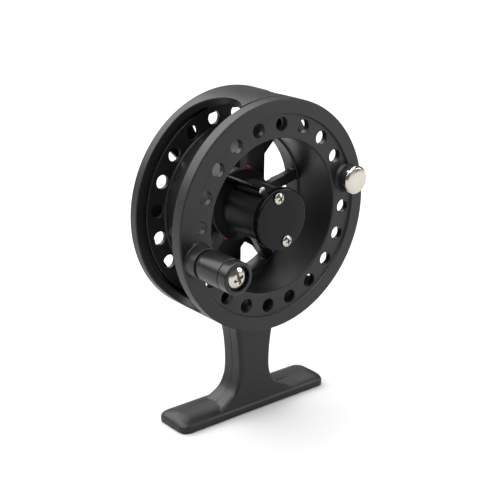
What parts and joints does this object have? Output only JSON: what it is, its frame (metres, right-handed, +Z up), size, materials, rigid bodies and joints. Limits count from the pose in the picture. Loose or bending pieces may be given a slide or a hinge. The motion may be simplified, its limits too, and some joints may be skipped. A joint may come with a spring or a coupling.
{
  "type": "fly reel",
  "caption": "Small open-frame fly reel: perforated spool with a palming rim, hub cap, crank handle and counterweight on a one-piece frame with a stem foot.",
  "frame": {"origin": "centre of the foot's flat underside", "axes": "+Z up from the foot to the spool, the foot lies along X, the spool's axis is parallel to Y and its handle side faces -Y"},
  "size_m": [0.06, 0.0404, 0.0856],
  "materials": {
    "black_abs": "satin moulded",
    "gloss_abs": "polished",
    "red_acetal": "moulded",
    "white_acetal": "moulded",
    "stainless_steel": "turned",
    "nickel_plate": "bright plated",
    "oiled_bronze": "sintered",
    "brass": "turned"
  },
  "bodies": {
    "reel_frame": {"frame": "black_abs", "spindle": "stainless_steel", "spindle_nut": "stainless_steel", "nut_washer": "stainless_steel", "spindle_clip": "stainless_steel", "thrust_washer": "stainless_steel", "pawl_pin": "stainless_steel", "pawl_spring": "stainless_steel"},
    "spool": {"spool": "black_abs", "hub_bush_front": "oiled_bronze", "hub_bush_rear": "oiled_bronze", "hub_cap": "gloss_abs", "cap_screw_upper": "nickel_plate", "cap_screw_lower": "nickel_plate", "hub_pin": "stainless_steel", "handle_post": "brass", "handle_screw": "nickel_plate", "handle_washer": "brass", "counterweight": "nickel_plate", "click_gear": "red_acetal"},
    "handle": {"handle_knob": "black_abs"},
    "click_switch": {"click_knob": "black_abs", "click_cam": "white_acetal"},
    "pawl": {"click_pawl": "white_acetal"}
  },
  "joints": [
    {"name": "spool_spin", "type": "hinge", "parent": "reel_frame", "child": "spool", "pos_m": [0, 0, 0.0556], "axis": [0, 1, 0], "continuous": true},
    {"name": "handle_spin", "type": "hinge", "parent": "spool", "child": "handle", "pos_m": [-0.02445, -0.0218, 0.04951], "axis": [0, 1, 0], "continuous": true},
    {"name": "click_knob_turn", "type": "hinge", "parent": "reel_frame", "child": "click_switch", "pos_m": [-0.00728, 0.009, 0.06724], "axis": [0, -1, 0], "range_deg": [0, 60]},
    {"name": "pawl_swing", "type": "hinge", "parent": "reel_frame", "child": "pawl", "pos_m": [-0.01095, 0.0054, 0.06416], "axis": [0, -1, 0], "range_deg": [0, 12]}
  ]
}
